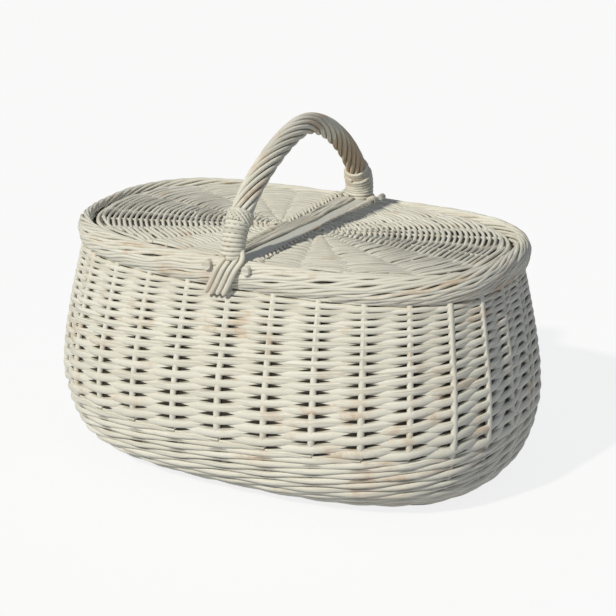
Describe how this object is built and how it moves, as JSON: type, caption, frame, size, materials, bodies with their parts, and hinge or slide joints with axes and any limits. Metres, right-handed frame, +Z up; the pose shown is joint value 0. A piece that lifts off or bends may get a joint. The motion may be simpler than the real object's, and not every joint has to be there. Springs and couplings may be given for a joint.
{
  "type": "lidded picnic basket",
  "caption": "Oval woven willow picnic basket with a roped arch handle, a centre slat and a hinged half-oval lid on each side of it.",
  "frame": {"origin": "middle of the oval floor, on the surface that the basket stands on", "axes": "+X along the basket towards the right lid, +Y across it along the slat, +Z up"},
  "size_m": [0.4656, 0.3219, 0.3359],
  "materials": {
    "painted_willow": "thin, worn off-white paint on peeled willow",
    "split_cane": "pale split cane under the same worn paint",
    "painted_board": "smooth off-white painted board"
  },
  "bodies": {
    "basket": {"floor_weave": "painted_willow", "side_weave": "painted_willow", "stake_01": "painted_willow", "stake_02": "painted_willow", "stake_03": "painted_willow", "stake_04": "painted_willow", "stake_05": "painted_willow", "stake_06": "painted_willow", "stake_07": "painted_willow", "stake_08": "painted_willow", "stake_09": "painted_willow", "stake_10": "painted_willow", "stake_11": "painted_willow", "stake_12": "painted_willow", "stake_13": "painted_willow", "stake_14": "painted_willow", "stake_15": "painted_willow", "stake_16": "painted_willow", "stake_17": "painted_willow", "stake_18": "painted_willow", "stake_19": "painted_willow", "stake_20": "painted_willow", "stake_21": "painted_willow", "stake_22": "painted_willow", "stake_23": "painted_willow", "stake_24": "painted_willow", "stake_25": "painted_willow", "stake_26": "painted_willow", "stake_27": "painted_willow", "stake_28": "painted_willow", "stake_29": "painted_willow", "stake_30": "painted_willow", "foot_wale": "painted_willow", "top_wale": "painted_willow", "border": "painted_willow", "handle_core": "painted_willow", "handle_rope": "painted_willow", "binding_near": "split_cane", "binding_far": "split_cane", "tail_near_1": "painted_willow", "tail_near_2": "painted_willow", "tail_near_3": "painted_willow", "tail_near_4": "painted_willow", "tail_far_1": "painted_willow", "tail_far_2": "painted_willow", "tail_far_3": "painted_willow", "tail_far_4": "painted_willow", "slat": "painted_board", "strap_left_near": "split_cane", "strap_left_far": "split_cane", "strap_right_near": "split_cane", "strap_right_far": "split_cane"},
    "lid_left": {"lid_left_weave": "painted_willow", "lid_left_edge": "painted_willow", "lid_left_hinge_stick": "painted_willow"},
    "lid_right": {"lid_right_weave": "painted_willow", "lid_right_edge": "painted_willow", "lid_right_hinge_stick": "painted_willow"}
  },
  "joints": [
    {"name": "lid_left_hinge", "type": "hinge", "parent": "basket", "child": "lid_left", "pos_m": [-0.0201, 0, 0.223], "axis": [0, 1, 0], "range_deg": [0, 95]},
    {"name": "lid_right_hinge", "type": "hinge", "parent": "basket", "child": "lid_right", "pos_m": [0.0201, 0, 0.223], "axis": [0, -1, 0], "range_deg": [0, 88]}
  ]
}
